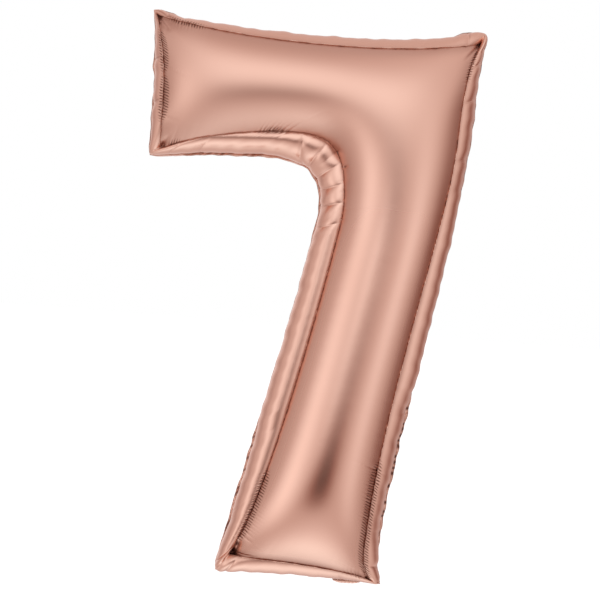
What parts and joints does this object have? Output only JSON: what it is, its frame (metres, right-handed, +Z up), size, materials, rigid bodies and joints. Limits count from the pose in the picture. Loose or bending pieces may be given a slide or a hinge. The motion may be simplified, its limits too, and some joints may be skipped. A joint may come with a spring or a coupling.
{
  "type": "foil number balloon",
  "caption": "Inflated foil balloon in the shape of the digit seven, with domed panels, side gussets, heat-sealed seams, an inner valve and a folding filling tail.",
  "frame": {"origin": "the neck, where the filling tail leaves the middle seam under the foot of the digit and the ribbon is tied", "axes": "+Z up the digit, +X to the right as the front is seen, -Y out of the front face"},
  "size_m": [0.5195, 0.1938, 0.8631],
  "materials": {
    "foil": "metallised rose gold film, mirror bright",
    "seal": "metallised rose gold film, crimped by the sealing bar",
    "valve_film": "clear polyethylene film"
  },
  "bodies": {
    "envelope": {"front_panel": "foil", "back_panel": "foil", "front_gusset": "foil", "back_gusset": "foil", "front_seal": "seal", "mid_seal": "seal", "back_seal": "seal", "valve_front_film": "valve_film", "valve_back_film": "valve_film"},
    "tail": {"tail_front_foil": "foil", "tail_back_foil": "foil", "inlet_sleeve": "valve_film"}
  },
  "joints": [
    {"name": "tail_fold", "type": "hinge", "parent": "envelope", "child": "tail", "pos_m": [0, 0, 0], "axis": [-1, 0, 0], "range_deg": [0, 160]}
  ]
}
